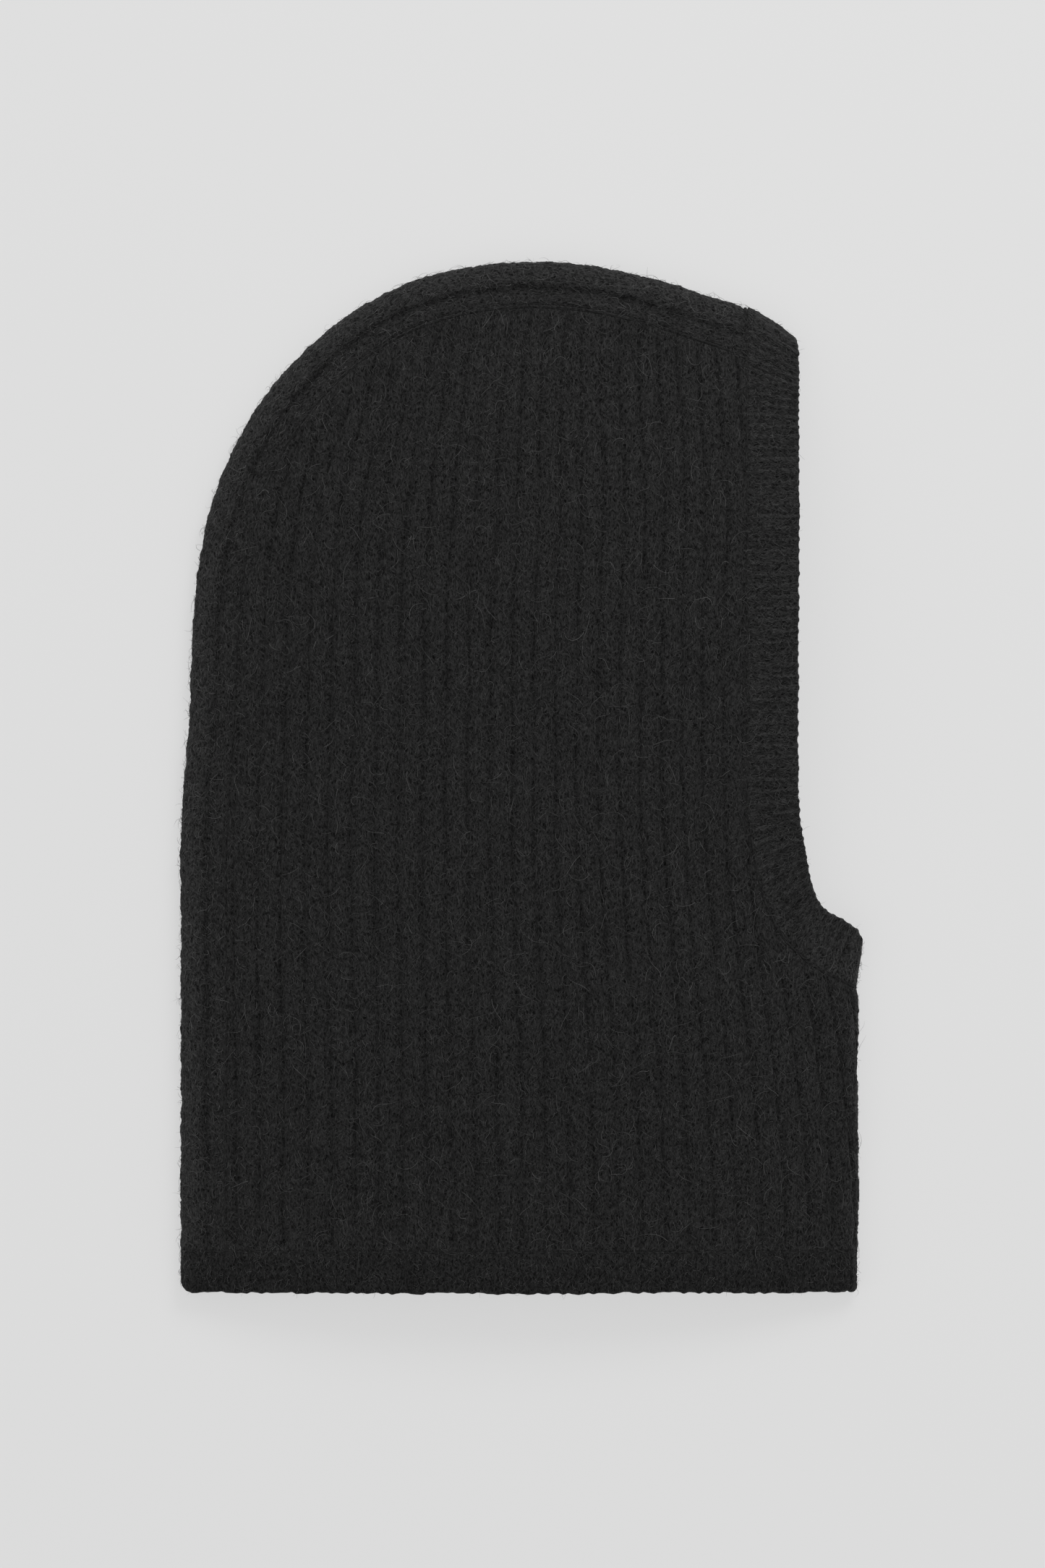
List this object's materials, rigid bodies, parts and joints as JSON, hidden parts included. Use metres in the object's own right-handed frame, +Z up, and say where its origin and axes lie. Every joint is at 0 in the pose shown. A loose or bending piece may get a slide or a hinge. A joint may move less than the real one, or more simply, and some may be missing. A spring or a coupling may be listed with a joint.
{
  "type": "balaclava",
  "caption": "Charcoal brushed wool rib-knit hood with an open face, a rib band round the face and a long neck, laid flat on its side.",
  "frame": {"origin": "centre of the hood's footprint, on the surface it lies on", "axes": "laid flat on its left side: +X towards the face opening, +Y from the hem to the crown, +Z up from the surface it lies on"},
  "size_m": [0.2452, 0.3702, 0.0299],
  "materials": {
    "body_knit": "brushed wide-rib wool knit, matt, with a fine pale halo of fibres",
    "strip_knit": "brushed wide-rib wool knit, ribs along the strip",
    "band_knit": "1x1 rib wool knit, ribs across the band",
    "hem_knit": "fine rib wool knit, matt",
    "seam_yarn": "linked wool yarn, matt",
    "label_tape": "blank woven tape, satin",
    "label_thread": "plain sewing thread"
  },
  "bodies": {
    "root": {"right_side_panel": "body_knit", "left_side_panel": "body_knit", "crown_back_strip": "strip_knit", "face_band": "band_knit", "hem_band": "hem_knit", "crown_seam_right": "seam_yarn", "crown_seam_left": "seam_yarn", "face_band_seam": "seam_yarn", "face_band_join_seam": "seam_yarn", "front_neck_seam": "seam_yarn", "hem_linking_seam": "seam_yarn", "care_label": "label_tape", "label_tack_stitches": "label_thread"}
  },
  "joints": []
}
